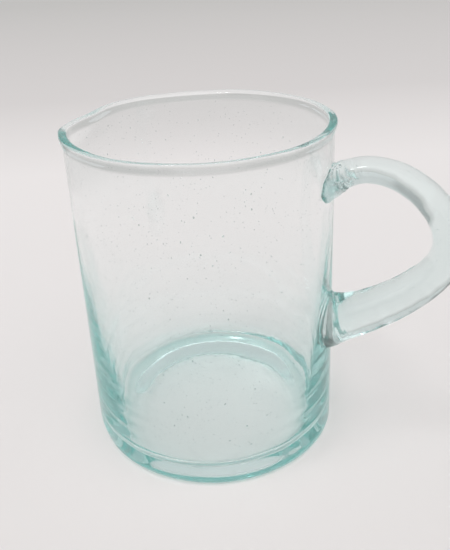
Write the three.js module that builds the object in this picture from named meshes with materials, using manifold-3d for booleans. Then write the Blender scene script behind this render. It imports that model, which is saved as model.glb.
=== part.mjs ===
// Hand-blown glass pitcher with an applied glass handle.
// The body is one blown piece: heavy flat base, rounded heel, wall that thins upwards, fire-polished rim and
// pulled lip.
// The handle is a second gather of glass. It is stuck to the wall low down, drawn out thinner, bent over
// and pressed back on the wall below the rim. The two pieces are fused hot and nothing on them moves.
// Millimetres, +Z up. The origin is the middle of the resting face and the handle points along +X.
import * as THREE from 'three';
import { mergeVertices } from 'three/addons/utils/BufferGeometryUtils.js';
import Module from 'manifold-3d';

// Body sizes
const BODY_HEIGHT = 130;
const WALL_RADIUS = 49.9;
const WALL_THICKNESS = 1.1;
const THIN_WALL_FOOT = 90;
const THICKENING_DEPTH = 62;
const THICKENING = 3.2;
const THICKENING_POWER = 2.2;
const FLOOR_THICKNESS = 8;
const FLOOR_CORNER_REACH = 4.4;
const FLOOR_CORNER_RISE = 7.5;
const HEEL_RADIUS = 3.6;

// Rim sizes: a round bead that stands proud of the wall
const BEAD_WIDTH = 3.3;
const BEAD_HEIGHT = 4;
const BEAD_OVERHANG = 0.9;
const NECK_HEIGHT = 3;
const NECK_BEND = { rise: 0.7, out: 0.25 };
const BEAD_ARC = { from: -25, to: 205 };

// Lip sizes: a small beak drawn out of the rim between two pinched flanks
const LIP_AZIMUTH = 202;
const LIP_PULL = 1;
const LIP_HALF_ANGLE = 9;
const LIP_DEPTH = 12;
const LIP_DROP = 0.8;
const FLANK_ANGLE = 22;
const FLANK_SPREAD = 14;
const NEAR_FLANK_PINCH = 0.9;
const FAR_FLANK_PINCH = 2.4;

// Handle sizes
const HANDLE_REACH = 43;
const UPPER_SEAT_DROP = 21;
const UPPER_SEAT_RISE_ANGLE = 50;
const UPPER_SEAT_PULL = 20;
const LOWER_SEAT_HEIGHT = 52;
const LOWER_SEAT_RISE_ANGLE = 18;
const LOWER_SEAT_PULL = 22;
const BOW_HEIGHT = 89;
const BOW_PULL_UP = 18.5;
const BOW_PULL_DOWN = 14;
const TOP_THICKNESS = 8.6;
const TAIL_THICKNESS = 16;
const TOP_WIDTH = 13;
const TAIL_WIDTH = 15.5;
const DRAWING_POWER = 1.4;
const UPPER_FLARE = { thickness: 4.2, width: 11, length: 4 };
const LOWER_FLARE = { thickness: 9, width: 12, length: 7 };
const SEAT_ROOT = 2.6;
const SEAT_CLEARANCE = 0.3;

// Fineness of the facets
const ROUND_SEGMENTS = 96;
const WALL_ROWS = 9;
const ARC_ROWS = 6;
const BEAD_ROWS = 10;
const HANDLE_STATIONS = 34;
const HANDLE_SIDES = 20;

const radians = THREE.MathUtils.degToRad;
const smooth = THREE.MathUtils.smoothstep;

const neckFoot = BODY_HEIGHT - BEAD_HEIGHT - NECK_HEIGHT;
const beadMiddle = BODY_HEIGHT - BEAD_HEIGHT / 2;
const beadRadius = WALL_RADIUS + BEAD_OVERHANG - BEAD_WIDTH / 2;

// Points of an elliptical arc in the half-plane of the profile, with its angles in degrees.
function arc(radius, height, halfWidth, halfHeight, from, to, rows) {
  const points = [];
  for (let row = 0; row <= rows; row += 1) {
    const angle = radians(THREE.MathUtils.lerp(from, to, row / rows));
    points.push(new THREE.Vector2(
      radius + halfWidth * Math.cos(angle),
      height + halfHeight * Math.sin(angle),
    ));
  }
  return points;
}

// Heights between two levels, drawn together towards the upper one, where the lip is pulled.
function wallHeights(low, high) {
  const heights = [];
  for (let row = 1; row < WALL_ROWS; row += 1) {
    const left = 1 - row / WALL_ROWS;
    heights.push(high - (high - low) * left * left);
  }
  return heights;
}

// The inner face of the wall: thin and upright above, thickening towards the foot, where the glass is cooler.
function innerRadius(height) {
  const depth = Math.max(THIN_WALL_FOOT - height, 0) / THICKENING_DEPTH;
  return WALL_RADIUS - WALL_THICKNESS - THICKENING * depth ** THICKENING_POWER;
}

// The outside of the body, from the edge of the resting face up to the widest line of the rim bead.
function outerProfile() {
  const heel = arc(WALL_RADIUS - HEEL_RADIUS, HEEL_RADIUS, HEEL_RADIUS, HEEL_RADIUS, -90, 0, ARC_ROWS);
  const wall = wallHeights(HEEL_RADIUS, neckFoot).map((height) => new THREE.Vector2(WALL_RADIUS, height));
  const neck = [
    new THREE.Vector2(WALL_RADIUS, neckFoot),
    new THREE.Vector2(WALL_RADIUS + BEAD_OVERHANG * NECK_BEND.out, neckFoot + NECK_HEIGHT * NECK_BEND.rise),
  ];
  return [...heel, ...wall, ...neck];
}

function bodyProfile() {
  const bead = arc(
    beadRadius, beadMiddle, BEAD_WIDTH / 2, BEAD_HEIGHT / 2, BEAD_ARC.from, BEAD_ARC.to, BEAD_ROWS,
  );
  const cornerTop = FLOOR_THICKNESS + FLOOR_CORNER_RISE;
  const insideHeights = [cornerTop, ...wallHeights(cornerTop, neckFoot), neckFoot].reverse();
  const inside = insideHeights.map((height) => new THREE.Vector2(innerRadius(height), height));
  const corner = arc(0, cornerTop, FLOOR_CORNER_REACH, FLOOR_CORNER_RISE, 0, -90, ARC_ROWS)
    .slice(1)
    .map((point) => new THREE.Vector2(innerRadius(point.y) - FLOOR_CORNER_REACH + point.x, point.y));
  return [
    new THREE.Vector2(0, 0),
    ...outerProfile(),
    ...bead,
    ...inside,
    ...corner,
    new THREE.Vector2(0, FLOOR_THICKNESS),
  ];
}

// A profile turned round +Z instead of the +Y that a lathe turns round.
function revolve(profile) {
  const geometry = new THREE.LatheGeometry(profile, ROUND_SEGMENTS);
  geometry.rotateX(Math.PI / 2);
  return geometry;
}

// How far the rim moves outwards at a turn, in degrees, away from the middle of the lip.
function lipShift(turn) {
  const beak = LIP_PULL * Math.exp(-((turn / LIP_HALF_ANGLE) ** 2));
  const pinch = turn < 0 ? FAR_FLANK_PINCH : NEAR_FLANK_PINCH;
  const flank = pinch * Math.exp(-(((Math.abs(turn) - FLANK_ANGLE) / FLANK_SPREAD) ** 2));
  const calm = smooth(Math.abs(turn), 0, LIP_HALF_ANGLE);
  return beak - flank * calm;
}

function pullLip(geometry) {
  const position = geometry.getAttribute('position');
  const point = new THREE.Vector3();
  for (let index = 0; index < position.count; index += 1) {
    point.fromBufferAttribute(position, index);
    const share = smooth(point.z, BODY_HEIGHT - LIP_DEPTH, BODY_HEIGHT);
    const radius = Math.hypot(point.x, point.y);
    if (share > 0 && radius > 0) {
      const azimuth = THREE.MathUtils.radToDeg(Math.atan2(point.y, point.x));
      const turn = THREE.MathUtils.euclideanModulo(azimuth - LIP_AZIMUTH + 180, 360) - 180;
      const scale = (radius + lipShift(turn) * share) / radius;
      const drop = LIP_DROP * share * Math.exp(-((turn / LIP_HALF_ANGLE) ** 2));
      position.setXYZ(index, point.x * scale, point.y * scale, point.z - drop);
    }
  }
  return geometry;
}

function makeBody() {
  return pullLip(revolve(bodyProfile()));
}

// Middle line of the handle: an arch from the upper seat to the bow, then a tail down to the lower seat.
function handleCurve() {
  const inPlane = (reach, height) => new THREE.Vector3(WALL_RADIUS + reach, 0, height);
  const upperSeat = inPlane(0, BODY_HEIGHT - UPPER_SEAT_DROP);
  const lowerSeat = inPlane(0, LOWER_SEAT_HEIGHT);
  const bow = inPlane(HANDLE_REACH, BOW_HEIGHT);
  const upperAngle = radians(UPPER_SEAT_RISE_ANGLE);
  const lowerAngle = radians(LOWER_SEAT_RISE_ANGLE);
  const leaving = (seat, angle, pull) => new THREE.Vector3(Math.cos(angle), 0, Math.sin(angle))
    .multiplyScalar(pull)
    .add(seat);
  const curve = new THREE.CurvePath();
  curve.add(new THREE.CubicBezierCurve3(
    upperSeat,
    leaving(upperSeat, upperAngle, UPPER_SEAT_PULL),
    bow.clone().setZ(BOW_HEIGHT + BOW_PULL_UP),
    bow,
  ));
  curve.add(new THREE.CubicBezierCurve3(
    bow,
    bow.clone().setZ(BOW_HEIGHT - BOW_PULL_DOWN),
    leaving(lowerSeat, lowerAngle, LOWER_SEAT_PULL),
    lowerSeat,
  ));
  return curve;
}

// One size of the handle's oval section, flared towards both seats.
function sectionSize(kind, top, tail, fromTop, toTail) {
  const share = fromTop / (fromTop + toTail);
  const drawn = THREE.MathUtils.lerp(top, tail, share ** DRAWING_POWER);
  const upper = UPPER_FLARE[kind] * Math.exp(-fromTop / UPPER_FLARE.length);
  const lower = LOWER_FLARE[kind] * Math.exp(-toTail / LOWER_FLARE.length);
  return drawn + upper + lower;
}

// Oval sections along the middle line, square to it on the way and upright against the wall at the seats.
// The first and last section lie inside the wall, ready to be trimmed.
function handleLoft() {
  const curve = handleCurve();
  const length = curve.getLength();
  const vertices = [];
  const triangles = [];
  for (let station = -1; station <= HANDLE_STATIONS + 1; station += 1) {
    const share = THREE.MathUtils.clamp(station / HANDLE_STATIONS, 0, 1);
    const fromTop = share * length;
    const toTail = length - fromTop;
    const centre = curve.getPointAt(share);
    const along = curve.getTangentAt(share);
    const across = new THREE.Vector3(-along.z, 0, along.x);
    const upright = Math.exp(-fromTop / UPPER_FLARE.length) + Math.exp(-toTail / LOWER_FLARE.length);
    across.lerp(new THREE.Vector3(0, 0, Math.sign(across.z)), upright).normalize();
    if (station < 0 || station > HANDLE_STATIONS) {
      centre.x -= SEAT_ROOT;
    }
    const thickness = sectionSize('thickness', TOP_THICKNESS, TAIL_THICKNESS, fromTop, toTail);
    const width = sectionSize('width', TOP_WIDTH, TAIL_WIDTH, fromTop, toTail);
    for (let side = 0; side < HANDLE_SIDES; side += 1) {
      const angle = (2 * Math.PI * side) / HANDLE_SIDES;
      const rim = centre.clone().addScaledVector(across, (Math.cos(angle) * thickness) / 2);
      vertices.push(rim.x, (Math.sin(angle) * width) / 2, rim.z);
    }
  }
  const rings = HANDLE_STATIONS + 3;
  for (let ring = 0; ring < rings - 1; ring += 1) {
    for (let side = 0; side < HANDLE_SIDES; side += 1) {
      const next = (side + 1) % HANDLE_SIDES;
      const a = ring * HANDLE_SIDES + side;
      const b = ring * HANDLE_SIDES + next;
      triangles.push(a, a + HANDLE_SIDES, b, b, a + HANDLE_SIDES, b + HANDLE_SIDES);
    }
  }
  const last = (rings - 1) * HANDLE_SIDES;
  for (let side = 1; side < HANDLE_SIDES - 1; side += 1) {
    triangles.push(0, side, side + 1);
    triangles.push(last, last + side + 1, last + side);
  }
  const geometry = new THREE.BufferGeometry();
  geometry.setAttribute('position', new THREE.Float32BufferAttribute(vertices, 3));
  geometry.setIndex(triangles);
  return geometry;
}

// The space that the body takes up for the handle: its outside, made larger by the clearance of the seat.
function seatEnvelope() {
  const side = outerProfile().map((point) => new THREE.Vector2(point.x + SEAT_CLEARANCE, point.y));
  const rim = WALL_RADIUS + BEAD_OVERHANG + SEAT_CLEARANCE;
  return revolve([
    new THREE.Vector2(0, -SEAT_CLEARANCE),
    new THREE.Vector2(side[0].x, -SEAT_CLEARANCE),
    ...side,
    new THREE.Vector2(rim, beadMiddle),
    new THREE.Vector2(rim, BODY_HEIGHT + SEAT_CLEARANCE),
    new THREE.Vector2(0, BODY_HEIGHT + SEAT_CLEARANCE),
  ]);
}

const wasm = await Module();
wasm.setup();

function toSolid(geometry) {
  const bare = geometry.clone();
  bare.deleteAttribute('normal');
  bare.deleteAttribute('uv');
  const merged = mergeVertices(bare);
  return new wasm.Manifold(new wasm.Mesh({
    numProp: 3,
    vertProperties: new Float32Array(merged.getAttribute('position').array),
    triVerts: new Uint32Array(merged.getIndex().array),
  }));
}

function toGeometry(solid) {
  const mesh = solid.getMesh();
  const geometry = new THREE.BufferGeometry();
  geometry.setAttribute('position', new THREE.BufferAttribute(mesh.vertProperties, 3));
  geometry.setIndex(new THREE.BufferAttribute(mesh.triVerts, 1));
  geometry.computeVertexNormals();
  return geometry;
}

function makeHandle() {
  return toGeometry(toSolid(handleLoft()).subtract(toSolid(seatEnvelope())));
}

const AQUA_GLASS = { color: 0xd3e6e1, roughness: 0.03, metalness: 0, transparent: true, opacity: 0.45 };

function piece(name, geometry) {
  const mesh = new THREE.Mesh(geometry, new THREE.MeshStandardMaterial(AQUA_GLASS));
  mesh.name = name;
  return mesh;
}

const pitcher = new THREE.Group();
pitcher.name = 'glass_pitcher';
pitcher.add(piece('blown_body', makeBody()));
pitcher.add(piece('applied_handle', makeHandle()));

export default pitcher;
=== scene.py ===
"""Dresses the hand-blown glass pitcher: wavy blown body, drawn handle, aqua glass with seeds, pale studio."""
import math

import bpy
import numpy as np
from mathutils import Matrix, Vector


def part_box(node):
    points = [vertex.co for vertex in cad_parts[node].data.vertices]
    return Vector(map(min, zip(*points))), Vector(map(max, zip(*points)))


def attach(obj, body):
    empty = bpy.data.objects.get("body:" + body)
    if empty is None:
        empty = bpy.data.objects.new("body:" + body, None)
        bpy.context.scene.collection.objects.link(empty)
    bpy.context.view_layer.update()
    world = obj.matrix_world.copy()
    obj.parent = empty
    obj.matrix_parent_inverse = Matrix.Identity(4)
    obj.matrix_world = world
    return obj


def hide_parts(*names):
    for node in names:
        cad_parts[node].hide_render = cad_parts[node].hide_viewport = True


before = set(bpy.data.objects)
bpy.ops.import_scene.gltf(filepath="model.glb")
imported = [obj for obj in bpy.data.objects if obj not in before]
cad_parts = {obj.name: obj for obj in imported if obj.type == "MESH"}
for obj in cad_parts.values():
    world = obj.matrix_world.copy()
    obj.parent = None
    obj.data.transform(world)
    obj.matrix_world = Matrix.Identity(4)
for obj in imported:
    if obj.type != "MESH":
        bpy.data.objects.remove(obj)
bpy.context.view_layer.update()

MM = 0.001
SEED = 20

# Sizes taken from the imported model
body_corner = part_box("blown_body")[1]
BODY_HEIGHT = body_corner.z
RIM_RADIUS = body_corner.y

# Wall, floor and underside of the body, tuned on the way the glass bends light
BEAD_OVERHANG = 0.9 * MM
WALL_RADIUS = RIM_RADIUS - BEAD_OVERHANG
WALL_THICKNESS = 0.9 * MM
THIN_WALL_FOOT = 95 * MM
THICKENING_DEPTH = 66 * MM
THICKENING = 3.1 * MM
THICKENING_POWER = 1.9
FLOOR_THICKNESS = 8.5 * MM
FLOOR_CORNER_REACH = 4.2 * MM
FLOOR_CORNER_RISE = 5.5 * MM
CORNER_TOP = FLOOR_THICKNESS + FLOOR_CORNER_RISE
HEEL_RADIUS = 3.6 * MM
HEEL_SLUMP = 2.4 * MM
HEEL_SLUMP_HEIGHT = 10 * MM
SLUMP_AZIMUTH = math.radians(200)
PUNT_SLOPE = math.radians(17)
PUNT_OUTER = 41 * MM
PUNT_INNER = 30 * MM
PUNT_OUTER_SOFTNESS = 0.4 * MM
PUNT_INNER_SOFTNESS = 2 * MM

# The base glass settled unevenly, higher at the back
BACK_AZIMUTH = math.radians(110)
FLOOR_TILT = 3.1 * MM
FLOOR_WAVE = 0.18 * MM
FLOOR_WAVE_REACH = (420, 420)
CALM_MIDDLE = 0.2
SETTLING_BELOW = 4 * MM
SETTLING_ABOVE = 12 * MM

# Rim, flat on top with rounded edges
BEAD_WIDTH = 3.3 * MM
BEAD_HEIGHT = 4 * MM
BEAD_POWER = 2.3
RIM_ROUNDING = 0.7 * MM
RIM_LEAN = math.radians(14)
RIM_UNEVENNESS = 0.16 * MM
RIM_WAVES_PER_TURN = [1, 2, 3, 5, 8]
INNER_TAPER = 26 * MM
NECK_HEIGHT = 0.8 * MM

# Lip, pulled out of the hot rim between a swollen near flank and a pinched far one
LIP_AZIMUTH = math.radians(197)
LIP_PULL = 1.0 * MM
LIP_HALF_ANGLE = math.radians(7)
LIP_DEPTH = 12 * MM
LIP_DROP = 0.8 * MM
FLANK_ANGLE = math.radians(22)
FLANK_SPREAD = math.radians(14)
NEAR_FLANK_SWELL = 0.2 * MM
FAR_FLANK_PINCH = 3.0 * MM

# Slow waves of the blown wall, and chill rings outside near the heel
OUTER_WAVE = 0.035 * MM
OUTER_WAVES_PER_TURN = [2, 3, 5, 7, 9, 13, 17]
INNER_WAVE = 0.045 * MM
INNER_WAVES_PER_TURN = [2, 3, 4, 6, 8, 11, 15, 19]
WAVE_SLANT = 60
CHILL_WAVE = 0.022 * MM
CHILL_FOOT = HEEL_RADIUS
CHILL_FULL = 4 * HEEL_RADIUS
CHILL_FADE = 24 * MM
CHILL_TOP = 52 * MM

# Pitch, waves per turn and phase of each set of chill rings
CHILL_RINGS = ((3.7 * MM, 1, 0.4), (5.1 * MM, -2, 1.9), (7.3 * MM, 1, 4.1), (9.7 * MM, 3, 2.6))

# Handle
UPPER_SEAT_HEIGHT = BODY_HEIGHT - 21 * MM
UPPER_SEAT_ANGLE = math.radians(50)
UPPER_SEAT_PULL = 20 * MM
LOWER_SEAT_HEIGHT = 52 * MM
LOWER_SEAT_ANGLE = math.radians(18)
LOWER_SEAT_PULL = 22 * MM
BOW_HEIGHT = 87 * MM
BOW_RADIUS = WALL_RADIUS + 43 * MM
BOW_PULL_UP = 20.5 * MM
BOW_PULL_DOWN = 12.5 * MM
TOP_THICKNESS = 8.6 * MM
TAIL_THICKNESS = 18.4 * MM
TOP_WIDTH = 13 * MM
TAIL_WIDTH = 15.5 * MM
DRAWING_POWER = 1.4
UPPER_FLARE = {"thickness": 4.2 * MM, "width": 11 * MM, "length": 4 * MM}
LOWER_FLARE = {"thickness": 5.6 * MM, "width": 6 * MM, "length": 5 * MM}
SEAT_OVERLAP = 0.35 * MM
SEAT_RADIUS = WALL_RADIUS - SEAT_OVERLAP
HANDLE_UNEVENNESS = 0.012
HANDLE_WAVE_REACH = (900, 3)
CRUMPLE = 0.075
CRUMPLE_WAVE_REACH = (4200, 9)
CRUMPLE_REACH = 6 * MM
LOWER_CRUMPLE_SHARE = 0.2

# Seeds, which are tiny bubbles in the glass, with the range of each size that varies
SEED_FOOT = 16 * MM
LARGE_SEEDS = 450
LARGE_SEED_TOP = BODY_HEIGHT - 8 * MM
LARGE_SEED_GIRTH = 0.075 * MM
LARGE_SEED_GROWTH = 0.15 * MM
LARGE_SEED_BREADTH = 1.2
LARGE_SEED_STRETCH = (1.0, 2.6)
FINE_SEEDS = 1500
FINE_SEED_TOP = BODY_HEIGHT - 5 * MM
FINE_SEED_GIRTH = (0.09 * MM, 0.17 * MM)
FINE_SEED_STRETCH = 1.5
FLOOR_SEEDS = 150
FLOOR_SEED_REACH = 36 * MM
FLOOR_SEED_DEPTH = (0.5 * MM, 3.5 * MM)
FLOOR_SEED_GIRTH = 0.12 * MM
FLOOR_SEED_GROWTH = 0.2 * MM
FLOOR_SEED_STRETCH = 1.6
HANDLE_SEEDS = 70
HANDLE_SEED_SPAN = (0.08, 0.92)
HANDLE_SEED_SPREAD = (-0.6, 0.6)
HANDLE_SEED_GIRTH = (0.05 * MM, 0.12 * MM)
HANDLE_SEED_STRETCH = (1.0, 1.6)

# Fineness of the meshes
BODY_SIDES = 280
FOOT_ROWS = 36
HEEL_ROWS = 18
WALL_ROW = 1.6 * MM
NECK_ROWS = 16
BEAD_ROWS = 44
INSIDE_POINTS = 120
CORNER_ROWS = 30
FLOOR_ROWS = 14
CURVE_POINTS = 400
HANDLE_STATIONS = 220
HANDLE_SIDES = 80
SEAT_RINGS = 6
LINE_SMOOTHING = 120
WAVE_COUNT = 9
FINE_SEED_ROWS = 2
FINE_SEED_SIDES = 4

# Glass, with the faint ripples that glassworkers call cords
GLASS_COLOUR = (0.08, 0.65, 0.615)
GLASS_DENSITY = 12.5
GLASS_IOR = 1.5
CORD_SCALE = 220
CORD_DETAIL = 2
CORD_DEPTH = 0.2 * MM
CORD_STRENGTH = 0.1
LIGHT_BOUNCES = 256

# Floor: its reach, how far it lies under the glass, and its colours from near to far, with painted shade
# darker far behind and a little towards the camera
FLOOR_REACH = 6
FLOOR_DROP = 0.05 * MM
FLOOR_SIDES = 96
FLOOR_NEAR = -0.2
FLOOR_FAR = 1.6
FLOOR_ROUGHNESS = 0.9
# Painted shade: the colours darken far behind the pitcher, where the room's light falls off, and a little
# towards the camera
FLOOR_COLOURS_WITH_PAINTED_SHADE = (
    (0.0, (0.72, 0.69, 0.68)),
    (0.14, (0.78, 0.75, 0.745)),
    (0.3, (0.80, 0.77, 0.765)),
    (0.45, (0.66, 0.635, 0.63)),
    (1.0, (0.55, 0.54, 0.53)),
)

# Light all round, with edges given as shares of a unit direction
BACK_LIGHT = 0.64
BACK_EDGE = 0.35
FRONT_LIGHT = 1.45
FRONT_EDGE = -0.45
LEFT_SHADE = 0.75
RIGHT_SHADE = 0.35
SHADE_EDGE = 0.28
SHADE_CORE = 0.55
SHADE_FOOT = 0.12
SHADE_TOP = 0.45
LAMP_PLACE = (-0.25, -0.3, 1.3)
LAMP_TARGET = (0, 0, 0.06)
LAMP_SIZE = 0.2
LAMP_POWER = 1

# Camera, solved from the outline of the body in a frame of 450 by 550 pixels
FRAME_WIDTH_PX = 450
FOCAL_PX = 750
CAMERA_AZIMUTH = math.radians(20)
CAMERA_DISTANCE = 271.97 * MM
CAMERA_HEIGHT = 201.74 * MM
CAMERA_PITCH = math.radians(26.544)
CAMERA_YAW = math.radians(1.473)
CAMERA_ROLL = math.radians(-2.848)
SENSOR_WIDTH_MM = 36
NEAREST_SEEN = 10 * MM

# Level directions away from the camera and to its right
AWAY = (-math.sin(CAMERA_AZIMUTH), math.cos(CAMERA_AZIMUTH), 0)
RIGHTWARD = (math.cos(CAMERA_AZIMUTH), math.sin(CAMERA_AZIMUTH), 0)


def smooth(value, low, high):
    """Eased step from 0 at the low value to 1 at the high one."""
    share = np.clip((value - low) / (high - low), 0, 1)
    return share * share * (3 - 2 * share)


def waves(rng, reach):
    """A smooth wavy function of two variables, made of sines with fixed random directions and phases."""
    steps = rng.uniform(-1, 1, (WAVE_COUNT, 2)) * np.array(reach)
    phases = rng.uniform(0, 2 * math.pi, WAVE_COUNT)
    weights = rng.uniform(0.5, 1, WAVE_COUNT)

    def field(u, v):
        total = np.zeros(np.broadcast(u, v).shape)
        for (a, b), phase, weight in zip(steps, phases, weights):
            total += weight * np.sin(a * u + b * v + phase)
        return total / math.sqrt(WAVE_COUNT)

    return field


def ring_waves(rng, turns, slant):
    """A wavy function round the body: whole numbers of waves per turn, so that it closes on itself."""
    phases = rng.uniform(0, 2 * math.pi, len(turns))
    slants = rng.uniform(-slant, slant, len(turns))

    def field(azimuth, height):
        total = np.zeros(np.broadcast(azimuth, height).shape)
        for turn, phase, lean in zip(turns, phases, slants):
            total += np.sin(turn * azimuth + lean * height + phase)
        return total / math.sqrt(len(turns))

    return field


def arc(radius, height, half_width, half_height, start, end, rows, power=2):
    """Part of an ellipse, or of a squarer curve where the power is above 2."""
    angle = np.radians(np.linspace(start, end, rows + 1))
    across = np.sign(np.cos(angle)) * np.abs(np.cos(angle)) ** (2 / power)
    upward = np.sign(np.sin(angle)) * np.abs(np.sin(angle)) ** (2 / power)
    return np.stack([radius + half_width * across, height + half_height * upward], 1)


def even_points(points, count):
    """Points at equal steps along a polyline."""
    lengths = np.hypot(*np.diff(points, axis=0).T)
    along = np.concatenate([[0], np.cumsum(lengths)])
    steps = np.linspace(0, along[-1], count)
    return np.stack([np.interp(steps, along, points[:, k]) for k in (0, 1)], 1)


def wall_rows(points):
    """Points along a polyline, one wall row apart."""
    length = np.hypot(*np.diff(points, axis=0).T).sum()
    return even_points(points, int(length / WALL_ROW) + 1)


def inner_radius(height):
    """Radius of the inner face: a thin wall that thickens downwards and rounds into the floor."""
    depth = np.maximum(THIN_WALL_FOOT - height, 0) / THICKENING_DEPTH
    wall = WALL_RADIUS - WALL_THICKNESS - THICKENING * depth ** THICKENING_POWER
    sunk = np.clip((CORNER_TOP - height) / FLOOR_CORNER_RISE, 0, 1)
    return wall - FLOOR_CORNER_REACH * (1 - np.sqrt(1 - sunk * sunk))


def soft_ramp(value, softness):
    """Nothing below zero and the value itself above it, with a rounded bend between them."""
    return softness * np.logaddexp(0, value / softness)


def underside(radius):
    """Height of the underside: a flat ring to stand on, then a shallow cone up to a level middle."""
    outer = soft_ramp(PUNT_OUTER - radius, PUNT_OUTER_SOFTNESS)
    inner = soft_ramp(PUNT_INNER - radius, PUNT_INNER_SOFTNESS)
    return math.tan(PUNT_SLOPE) * (outer - inner)


def body_profile():
    """Half section of the body: (radius, height, side) rows, with side 1 outside and 0 inside."""
    neck_foot = BODY_HEIGHT - BEAD_HEIGHT - NECK_HEIGHT
    bead_middle = BODY_HEIGHT - RIM_ROUNDING
    bead_radius = RIM_RADIUS - BEAD_WIDTH / 2
    foot_radius = np.linspace(0, WALL_RADIUS - HEEL_RADIUS, FOOT_ROWS)
    foot = np.stack([foot_radius, underside(foot_radius)], 1)
    heel = arc(WALL_RADIUS - HEEL_RADIUS, HEEL_RADIUS, HEEL_RADIUS, HEEL_RADIUS, -90, 0, HEEL_ROWS)
    wall = np.array([[WALL_RADIUS, HEEL_RADIUS], [WALL_RADIUS, neck_foot]])
    neck_heights = np.linspace(neck_foot, bead_middle, NECK_ROWS)[1:-1]
    neck_radius = WALL_RADIUS + BEAD_OVERHANG * smooth(neck_heights, neck_foot, bead_middle)
    neck = np.stack([neck_radius, neck_heights], 1)
    bead = arc(bead_radius, bead_middle, BEAD_WIDTH / 2, RIM_ROUNDING, 0, 180, BEAD_ROWS, BEAD_POWER)
    inside_heights = np.linspace(bead_middle, CORNER_TOP, INSIDE_POINTS)[1:]
    taper = smooth(inside_heights, neck_foot - INNER_TAPER, bead_middle)
    thicker = (inner_radius(bead_middle) - bead[-1, 0]) * taper
    inside = np.stack([inner_radius(inside_heights) - thicker, inside_heights], 1)
    fall = np.sin(np.radians(np.linspace(0, 90, CORNER_ROWS)))[1:]
    corner_heights = CORNER_TOP - FLOOR_CORNER_RISE * fall
    corner = np.stack([inner_radius(corner_heights), corner_heights], 1)
    floor_radius = np.linspace(corner[-1, 0], 0, FLOOR_ROWS)
    floor = np.stack([floor_radius, np.full(FLOOR_ROWS, FLOOR_THICKNESS)], 1)
    parts = [
        (foot[:-1], 1),
        (heel, 1),
        (wall_rows(wall)[1:], 1),
        (neck, 1),
        (bead, 0.5),
        (wall_rows(inside), 0),
        (corner, 0),
        (floor[1:], 0),
    ]
    return np.concatenate([np.column_stack([points, np.full(len(points), side)]) for points, side in parts])


def blown_waves(rng, height, around, outside):
    """How far each face of the wall is off its true radius. The top of the rim has none of it."""
    upright = smooth(height, CORNER_TOP, 2 * CORNER_TOP)
    outer = OUTER_WAVE * ring_waves(rng, OUTER_WAVES_PER_TURN, WAVE_SLANT)(around, height) * upright
    inner = INNER_WAVE * ring_waves(rng, INNER_WAVES_PER_TURN, WAVE_SLANT)(around, height) * upright
    chill = smooth(height, CHILL_FOOT, CHILL_FULL) * (1 - smooth(height, CHILL_FADE, CHILL_TOP))
    for pitch, turns, phase in CHILL_RINGS:
        outer += CHILL_WAVE * chill * np.sin(2 * math.pi * height / pitch + turns * around + phase)
    return np.where(outside > 0.5, outer, np.where(outside < 0.5, inner, 0))


def heel_slump(height, around):
    """Share of the radius that is lost at the heel, which is rounder on one side."""
    low_down = np.clip(1 - height / HEEL_SLUMP_HEIGHT, 0, 1) ** 2
    one_side = np.clip(np.cos(around - SLUMP_AZIMUTH), 0, 1)
    return HEEL_SLUMP / WALL_RADIUS * low_down * one_side


def floor_rise(radius, height, around):
    """How far the inner face stands above a level floor: a tilt and slow waves, fading up the wall."""
    settled = 1 - smooth(height, CORNER_TOP - SETTLING_BELOW, CORNER_TOP + SETTLING_ABOVE)
    reach = radius / inner_radius(FLOOR_THICKNESS)
    tilt = FLOOR_TILT * reach * np.cos(around - BACK_AZIMUTH)
    floor_waves = waves(np.random.default_rng(SEED + 2), FLOOR_WAVE_REACH)
    wavy = floor_waves(radius * np.cos(around), radius * np.sin(around)) * smooth(reach, 0, CALM_MIDDLE)
    return (tilt + FLOOR_WAVE * wavy) * settled


def rim_fall(rng, radius, height, around):
    """How far the rim lies below its full height: it is uneven and leans inwards at the front and back."""
    near_rim = smooth(height, BODY_HEIGHT - 2 * BEAD_HEIGHT, BODY_HEIGHT)
    rim_waves = ring_waves(rng, RIM_WAVES_PER_TURN, 0)
    uneven = RIM_UNEVENNESS * (1 + np.clip(rim_waves(around, height), -1, 1))
    lean = math.tan(RIM_LEAN) * np.cos(around - BACK_AZIMUTH) ** 2
    return (uneven + lean * (RIM_RADIUS - radius)) * near_rim


def lip_beak(turn):
    """Share of the pull and drop of the lip at a turn away from its middle."""
    return np.exp(-(turn / LIP_HALF_ANGLE) ** 2)


def lip_shift(turn):
    """How far the rim moves outwards at a turn away from the middle of the lip."""
    pinch = np.where(turn < 0, FAR_FLANK_PINCH, -NEAR_FLANK_SWELL)
    flank = pinch * np.exp(-((np.abs(turn) - FLANK_ANGLE) / FLANK_SPREAD) ** 2)
    return LIP_PULL * lip_beak(turn) - flank * smooth(np.abs(turn), 0, LIP_HALF_ANGLE)


def mesh_object(name, vertices, faces, material):
    mesh = bpy.data.meshes.new(name)
    mesh.from_pydata(vertices.tolist(), [], faces)
    mesh.polygons.foreach_set("use_smooth", [True] * len(mesh.polygons))
    mesh.materials.append(material)
    mesh.update()
    piece = bpy.data.objects.new(name, mesh)
    bpy.context.scene.collection.objects.link(piece)
    return piece


def ring_faces(rows, sides, turned):
    """Quads between rings of points. They are turned where the rings run the other way round."""
    faces = []
    for row in range(rows - 1):
        for side in range(sides):
            after = (side + 1) % sides
            low = row * sides
            high = low + sides
            if turned:
                faces.append([low + side, high + side, high + after, low + after])
            else:
                faces.append([low + side, low + after, high + after, high + side])
    return faces


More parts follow.
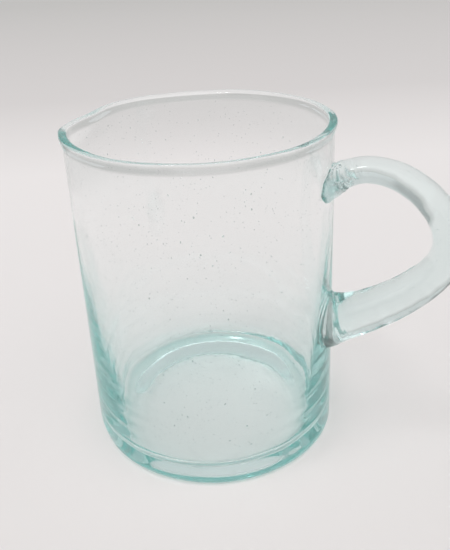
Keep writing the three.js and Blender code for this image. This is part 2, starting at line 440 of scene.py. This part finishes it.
def seed_bubble(centre, half_sizes, turn, rows=4, sides=5):
    """A small closed bubble with its faces turned inwards, so that it is empty space in the glass."""
    points = [[0, 0, -1]]
    for row in range(1, rows):
        polar = -math.pi / 2 + math.pi * row / rows
        level, girth = math.sin(polar), math.cos(polar)
        for side in range(sides):
            angle = 2 * math.pi * side / sides
            points.append([girth * math.cos(angle), girth * math.sin(angle), level])
    points.append([0, 0, 1])
    local = np.array(points) * np.array(half_sizes)
    c, s = math.cos(turn), math.sin(turn)
    turned = local @ np.array([[c, s, 0], [-s, c, 0], [0, 0, 1]])
    faces = []
    top = len(points) - 1
    for side in range(sides):
        after = (side + 1) % sides
        faces.append([0, 1 + side, 1 + after])
        faces.append([top, top - sides + after, top - sides + side])
        for row in range(rows - 2):
            low = 1 + row * sides
            high = low + sides
            faces.append([low + side, high + side, high + after, low + after])
    return turned + np.array(centre), faces


def add_seeds(vertices, faces, bubbles):
    """Joins bubbles to a mesh that is given as an array of points and a list of faces."""
    clouds = [vertices]
    count = len(vertices)
    for points, bubble_faces in bubbles:
        clouds.append(points)
        faces.extend([[count + index for index in face] for face in bubble_faces])
        count += len(points)
    return np.concatenate(clouds), faces


def mostly_small(rng, least, growth):
    """A random size, close to the least one in most draws."""
    return least + growth * rng.uniform(0, 1) ** 3


def place_in_wall(rng, top):
    """A random place halfway through the wall, and its azimuth."""
    level = rng.uniform(SEED_FOOT, top)
    azimuth = rng.uniform(0, 2 * math.pi)
    middle = (WALL_RADIUS + inner_radius(level)) / 2
    return [middle * math.cos(azimuth), middle * math.sin(azimuth), level], azimuth


def body_seeds(rng):
    bubbles = []
    for _ in range(LARGE_SEEDS):
        centre, azimuth = place_in_wall(rng, LARGE_SEED_TOP)
        girth = mostly_small(rng, LARGE_SEED_GIRTH, LARGE_SEED_GROWTH)
        sizes = (girth, girth * LARGE_SEED_BREADTH, girth * rng.uniform(*LARGE_SEED_STRETCH))
        bubbles.append(seed_bubble(centre, sizes, azimuth))
    for _ in range(FINE_SEEDS):
        centre, azimuth = place_in_wall(rng, FINE_SEED_TOP)
        girth = rng.uniform(*FINE_SEED_GIRTH)
        sizes = (girth, girth, girth * FINE_SEED_STRETCH)
        bubbles.append(seed_bubble(centre, sizes, azimuth, FINE_SEED_ROWS, FINE_SEED_SIDES))
    for _ in range(FLOOR_SEEDS):
        azimuth = rng.uniform(0, 2 * math.pi)
        place = FLOOR_SEED_REACH * math.sqrt(rng.uniform(0, 1))
        girth = mostly_small(rng, FLOOR_SEED_GIRTH, FLOOR_SEED_GROWTH)
        level = FLOOR_THICKNESS - rng.uniform(*FLOOR_SEED_DEPTH)
        centre = [place * math.cos(azimuth), place * math.sin(azimuth), level]
        sizes = (girth, girth * FLOOR_SEED_STRETCH, girth)
        bubbles.append(seed_bubble(centre, sizes, azimuth, FINE_SEED_ROWS, FINE_SEED_SIDES))
    return bubbles


def make_body(material):
    rng = np.random.default_rng(SEED)
    profile = body_profile()
    section = profile[1:-1]
    rows = len(section)
    azimuth = np.arange(BODY_SIDES) * 2 * math.pi / BODY_SIDES
    around = np.repeat(azimuth[None, :], rows, 0)
    radius, height, outside = (np.repeat(section[:, k:k + 1], BODY_SIDES, 1) for k in range(3))

    radius += blown_waves(rng, height, around, outside)
    radius *= 1 - np.where(outside > 0.5, heel_slump(height, around), 0)
    height += np.where(outside < 0.5, floor_rise(radius, height, around), 0)
    height -= rim_fall(rng, radius, height, around)
    near_lip = smooth(height, BODY_HEIGHT - LIP_DEPTH, BODY_HEIGHT)
    turn = (around - LIP_AZIMUTH + math.pi) % (2 * math.pi) - math.pi
    radius += lip_shift(turn) * near_lip
    height -= LIP_DROP * near_lip * lip_beak(turn)

    grid = np.stack([radius * np.cos(around), radius * np.sin(around), height], 2).reshape(-1, 3)
    poles = np.array([[0, 0, profile[0, 1]], [0, 0, profile[-1, 1]]])
    vertices = np.concatenate([grid, poles])
    faces = ring_faces(rows, BODY_SIDES, False)
    bottom, top = len(grid), len(grid) + 1
    last = (rows - 1) * BODY_SIDES
    for side in range(BODY_SIDES):
        after = (side + 1) % BODY_SIDES
        faces.append([bottom, after, side])
        faces.append([top, last + side, last + after])
    vertices, faces = add_seeds(vertices, faces, body_seeds(rng))
    return mesh_object("pitcher_body", vertices, faces, material)


def bezier(points, count):
    t = np.linspace(0, 1, count)[:, None]
    a, b, c, d = (np.array(point) for point in points)
    return a * (1 - t) ** 3 + 3 * b * t * (1 - t) ** 2 + 3 * c * t * t * (1 - t) + d * t ** 3


def handle_line():
    """Middle line of the handle as (radius, height) points at equal steps, from the upper seat down."""
    upper = np.array([WALL_RADIUS, UPPER_SEAT_HEIGHT])
    lower = np.array([WALL_RADIUS, LOWER_SEAT_HEIGHT])
    bow = np.array([BOW_RADIUS, BOW_HEIGHT])
    upper_pull = upper + UPPER_SEAT_PULL * np.array([math.cos(UPPER_SEAT_ANGLE), math.sin(UPPER_SEAT_ANGLE)])
    lower_pull = lower + LOWER_SEAT_PULL * np.array([math.cos(LOWER_SEAT_ANGLE), math.sin(LOWER_SEAT_ANGLE)])
    arch = bezier([upper, upper_pull, bow + [0, BOW_PULL_UP], bow], CURVE_POINTS)
    tail = bezier([bow, bow - [0, BOW_PULL_DOWN], lower_pull, lower], CURVE_POINTS)
    line = even_points(np.concatenate([arch, tail[1:]]), HANDLE_STATIONS)
    for _ in range(LINE_SMOOTHING):
        line[1:-1] = (line[:-2] + 2 * line[1:-1] + line[2:]) / 4
    return line


def section_size(kind, top, tail, from_top, to_tail):
    """Size of the drawn-out handle at each station, which spreads at both seats."""
    drawn = top + (tail - top) * (from_top / (from_top + to_tail)) ** DRAWING_POWER
    upper = UPPER_FLARE[kind] * np.exp(-from_top / UPPER_FLARE["length"])
    lower = LOWER_FLARE[kind] * np.exp(-to_tail / LOWER_FLARE["length"])
    return drawn + upper + lower


def section_axes(line, upright):
    """Direction across the handle at each station, turned upright next to the seats."""
    along = np.gradient(line, axis=0)
    along /= np.linalg.norm(along, axis=1)[:, None]
    across = np.stack([-along[:, 1], along[:, 0]], 1)
    vertical = np.stack([np.zeros(HANDLE_STATIONS), np.sign(across[:, 1])], 1)
    across = across * (1 - upright[:, None]) + vertical * upright[:, None]
    return across / np.linalg.norm(across, axis=1)[:, None]


def handle_swell(rng, angle, from_top, to_tail):
    """Uneven size of the handle round each section, with crumpled glass near the seats."""
    uneven = waves(rng, HANDLE_WAVE_REACH)
    crumple = waves(rng, CRUMPLE_WAVE_REACH)
    upper = np.exp(-(from_top / CRUMPLE_REACH) ** 2)
    lower = np.exp(-(to_tail / CRUMPLE_REACH) ** 2)
    near_seat = upper + LOWER_CRUMPLE_SHARE * lower
    slow = uneven(from_top[:, None], np.cos(angle)[None, :] + np.sin(angle)[None, :])
    quick = crumple(from_top[:, None], np.cos(angle)[None, :] + np.sin(2 * angle)[None, :])
    return 1 + HANDLE_UNEVENNESS * slow + CRUMPLE * near_seat[:, None] * quick


def seat_cap(edge, edge_start, next_point, turned):
    """Points and faces that close one end of the handle along the round wall."""
    sides = len(edge)
    middle_z = edge[:, 2].mean()
    rings = []
    faces = []
    before = edge_start
    for step in range(1, SEAT_RINGS):
        share = 1 - step / SEAT_RINGS
        y = edge[:, 1] * share
        z = middle_z + (edge[:, 2] - middle_z) * share
        rings.append(np.stack([np.sqrt(SEAT_RADIUS ** 2 - y ** 2), y, z], 1))
        for side in range(sides):
            after = (side + 1) % sides
            faces.append([before + side, before + after, next_point + after, next_point + side])
        before = next_point
        next_point += sides
    rings.append(np.array([[SEAT_RADIUS, 0, middle_z]]))
    for side in range(sides):
        faces.append([before + side, before + (side + 1) % sides, next_point])
    if turned:
        faces = [face[::-1] for face in faces]
    return np.concatenate(rings), faces


def handle_seeds(rng, line, across, thickness, width):
    bubbles = []
    for _ in range(HANDLE_SEEDS):
        station = int(rng.uniform(*HANDLE_SEED_SPAN) * HANDLE_STATIONS)
        offset = rng.uniform(*HANDLE_SEED_SPREAD) * thickness[station] / 2
        sidestep = rng.uniform(*HANDLE_SEED_SPREAD) * width[station] / 2
        girth = rng.uniform(*HANDLE_SEED_GIRTH)
        radius, height = line[station] + across[station] * offset
        sizes = (girth * rng.uniform(*HANDLE_SEED_STRETCH), girth, girth)
        bubbles.append(seed_bubble([radius, sidestep, height], sizes, 0, FINE_SEED_ROWS, FINE_SEED_SIDES))
    return bubbles


def make_handle(material):
    rng = np.random.default_rng(SEED + 1)
    line = handle_line()
    steps = np.hypot(*np.diff(line, axis=0).T)
    from_top = np.concatenate([[0], np.cumsum(steps)])
    to_tail = from_top[-1] - from_top
    upright = np.exp(-from_top / UPPER_FLARE["length"]) + np.exp(-to_tail / LOWER_FLARE["length"])
    across = section_axes(line, upright)
    thickness = section_size("thickness", TOP_THICKNESS, TAIL_THICKNESS, from_top, to_tail)
    width = section_size("width", TOP_WIDTH, TAIL_WIDTH, from_top, to_tail)

    angle = np.arange(HANDLE_SIDES) * 2 * math.pi / HANDLE_SIDES
    swell = handle_swell(rng, angle, from_top, to_tail)
    in_plane = np.cos(angle)[None, :] * thickness[:, None] / 2 * swell
    x = line[:, 0:1] + across[:, 0:1] * in_plane
    y = np.sin(angle)[None, :] * width[:, None] / 2 * swell
    z = line[:, 1:2] + across[:, 1:2] * in_plane

    # Both ends lie on the wall, sunk a little into it, and the glass next to them leans on it
    hollow = SEAT_RADIUS - np.sqrt(SEAT_RADIUS ** 2 - y ** 2)
    x -= hollow * upright[:, None]
    x[0] = SEAT_RADIUS - hollow[0]
    x[-1] = SEAT_RADIUS - hollow[-1]

    rings = np.stack([x, y, z], 2)
    vertices = rings.reshape(-1, 3)
    faces = ring_faces(HANDLE_STATIONS, HANDLE_SIDES, True)
    for station, turned in ((0, False), (HANDLE_STATIONS - 1, True)):
        points, cap_faces = seat_cap(rings[station], station * HANDLE_SIDES, len(vertices), turned)
        vertices = np.concatenate([vertices, points])
        faces += cap_faces
    vertices, faces = add_seeds(vertices, faces, handle_seeds(rng, line, across, thickness, width))
    return mesh_object("pitcher_handle", vertices, faces, material)


def glass_material(name):
    material = bpy.data.materials.new(name)
    material.use_nodes = True
    nodes, links = material.node_tree.nodes, material.node_tree.links
    shader = nodes["Principled BSDF"]
    shader.inputs["Base Color"].default_value = (1, 1, 1, 1)
    shader.inputs["IOR"].default_value = GLASS_IOR
    shader.inputs["Roughness"].default_value = 0
    shader.inputs["Transmission Weight"].default_value = 1
    place = nodes.new("ShaderNodeTexCoord")
    cords = nodes.new("ShaderNodeTexNoise")
    cords.inputs["Scale"].default_value = CORD_SCALE
    cords.inputs["Detail"].default_value = CORD_DETAIL
    ripple = nodes.new("ShaderNodeBump")
    ripple.inputs["Strength"].default_value = CORD_STRENGTH
    ripple.inputs["Distance"].default_value = CORD_DEPTH
    links.new(place.outputs["Object"], cords.inputs["Vector"])
    links.new(cords.outputs["Fac"], ripple.inputs["Height"])
    links.new(ripple.outputs["Normal"], shader.inputs["Normal"])
    absorb = nodes.new("ShaderNodeVolumeAbsorption")
    absorb.inputs["Color"].default_value = (*GLASS_COLOUR, 1)
    absorb.inputs["Density"].default_value = GLASS_DENSITY
    links.new(absorb.outputs["Volume"], nodes["Material Output"].inputs["Volume"])
    return material


def floor_material():
    """Matt floor whose colour changes slowly from near to far, with painted shade: darker far behind and a
    little darker towards the camera.
    """
    material = bpy.data.materials.new("pale_floor")
    material.use_nodes = True
    nodes, links = material.node_tree.nodes, material.node_tree.links
    shader = nodes["Principled BSDF"]
    shader.inputs["Roughness"].default_value = FLOOR_ROUGHNESS
    shader.inputs["Specular IOR Level"].default_value = 0
    place = nodes.new("ShaderNodeNewGeometry")
    away = nodes.new("ShaderNodeVectorMath")
    away.operation = "DOT_PRODUCT"
    away.inputs[1].default_value = AWAY
    scale = nodes.new("ShaderNodeMapRange")
    scale.inputs["From Min"].default_value = FLOOR_NEAR
    scale.inputs["From Max"].default_value = FLOOR_FAR
    # The ramp paints shade into the floor colour: darker far behind the pitcher and a little darker towards
    # the camera
    ramp = nodes.new("ShaderNodeValToRGB")
    while len(ramp.color_ramp.elements) < len(FLOOR_COLOURS_WITH_PAINTED_SHADE):
        ramp.color_ramp.elements.new(0.5)
    for element, (position, colour) in zip(ramp.color_ramp.elements, FLOOR_COLOURS_WITH_PAINTED_SHADE):
        element.position = position
        element.color = (*colour, 1)
    links.new(place.outputs["Position"], away.inputs[0])
    links.new(away.outputs["Value"], scale.inputs["Value"])
    links.new(scale.outputs["Result"], ramp.inputs["Fac"])
    links.new(ramp.outputs["Color"], shader.inputs["Base Color"])
    return material


def make_floor():
    mesh = bpy.data.meshes.new("studio_floor")
    angles = [2 * math.pi * side / FLOOR_SIDES for side in range(FLOOR_SIDES)]
    ring = [(FLOOR_REACH * math.cos(angle), FLOOR_REACH * math.sin(angle), 0) for angle in angles]
    mesh.from_pydata(ring, [], [list(range(FLOOR_SIDES))])
    mesh.materials.append(floor_material())
    floor = bpy.data.objects.new("studio_floor", mesh)
    floor.location.z = -FLOOR_DROP
    bpy.context.scene.collection.objects.link(floor)


def make_world():
    """Soft light all round: brightest from the front, dimmer from behind, shaded low down at both sides."""
    world = bpy.data.worlds.new("soft_studio")
    bpy.context.scene.world = world
    world.use_nodes = True
    nodes, links = world.node_tree.nodes, world.node_tree.links
    place = nodes.new("ShaderNodeTexCoord")

    def along(axis):
        dot = nodes.new("ShaderNodeVectorMath")
        dot.operation = "DOT_PRODUCT"
        dot.inputs[1].default_value = axis
        links.new(place.outputs["Generated"], dot.inputs[0])
        return dot.outputs["Value"]

    def eased(value, low, high, first, last, easing="SMOOTHSTEP"):
        step = nodes.new("ShaderNodeMapRange")
        step.interpolation_type = easing
        for name, number in (("From Min", low), ("From Max", high), ("To Min", first), ("To Max", last)):
            step.inputs[name].default_value = number
        links.new(value, step.inputs["Value"])
        return step.outputs["Result"]

    def combine(operation, one, other):
        math_node = nodes.new("ShaderNodeMath")
        math_node.operation = operation
        links.new(one, math_node.inputs[0])
        links.new(other, math_node.inputs[1])
        return math_node.outputs["Value"]

    sideways = along(RIGHTWARD)
    light = eased(along(AWAY), BACK_EDGE, FRONT_EDGE, BACK_LIGHT, FRONT_LIGHT)
    left = eased(sideways, -SHADE_EDGE, -SHADE_CORE, 0, LEFT_SHADE)
    right = eased(sideways, SHADE_EDGE, SHADE_CORE, 0, RIGHT_SHADE)
    low_down = eased(along((0, 0, 1)), SHADE_FOOT, SHADE_TOP, 1, 0)
    shade = combine("MULTIPLY", combine("ADD", left, right), low_down)
    kept = eased(shade, 0, 1, 1, 0, "LINEAR")
    nodes["Background"].inputs["Color"].default_value = (1, 1, 1, 1)
    links.new(combine("MULTIPLY", light, kept), nodes["Background"].inputs["Strength"])


def make_lamp():
    data = bpy.data.lights.new("overhead_softbox", "AREA")
    data.shape = "DISK"
    data.size = LAMP_SIZE
    data.energy = LAMP_POWER
    lamp = bpy.data.objects.new("overhead_softbox", data)
    lamp.location = LAMP_PLACE
    aim = Vector(LAMP_TARGET) - Vector(LAMP_PLACE)
    lamp.rotation_euler = aim.to_track_quat("-Z", "Y").to_euler()
    bpy.context.scene.collection.objects.link(lamp)


def make_camera():
    turn = Matrix.Rotation(CAMERA_AZIMUTH, 3, "Z")
    forward = Vector((
        math.sin(CAMERA_YAW) * math.cos(CAMERA_PITCH),
        math.cos(CAMERA_YAW) * math.cos(CAMERA_PITCH),
        -math.sin(CAMERA_PITCH),
    ))
    level = Vector((math.cos(CAMERA_YAW), -math.sin(CAMERA_YAW), 0))
    upward = level.cross(forward)
    right = math.cos(CAMERA_ROLL) * level + math.sin(CAMERA_ROLL) * upward
    upward = -math.sin(CAMERA_ROLL) * level + math.cos(CAMERA_ROLL) * upward
    place = turn @ Vector((0, -CAMERA_DISTANCE, CAMERA_HEIGHT))
    axes = Matrix([turn @ right, turn @ upward, turn @ -forward]).transposed()
    data = bpy.data.cameras.new("photo_camera")
    data.sensor_fit = "HORIZONTAL"
    data.sensor_width = SENSOR_WIDTH_MM
    data.lens = FOCAL_PX * SENSOR_WIDTH_MM / FRAME_WIDTH_PX
    data.clip_start = NEAREST_SEEN
    camera = bpy.data.objects.new("photo_camera", data)
    camera.matrix_world = Matrix.Translation(place) @ axes.to_4x4()
    bpy.context.scene.collection.objects.link(camera)
    bpy.context.scene.camera = camera


make_camera()
body = make_body(glass_material("aqua_body_glass"))
handle = make_handle(glass_material("aqua_handle_glass"))
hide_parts("blown_body")
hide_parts("applied_handle")
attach(body, "root")
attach(handle, "root")

make_floor()
make_world()
make_lamp()

scene = bpy.context.scene
scene.view_settings.view_transform = "Standard"
scene.cycles.blur_glossy = 0
scene.cycles.max_bounces = LIGHT_BOUNCES
scene.cycles.transmission_bounces = LIGHT_BOUNCES
scene.cycles.glossy_bounces = LIGHT_BOUNCES
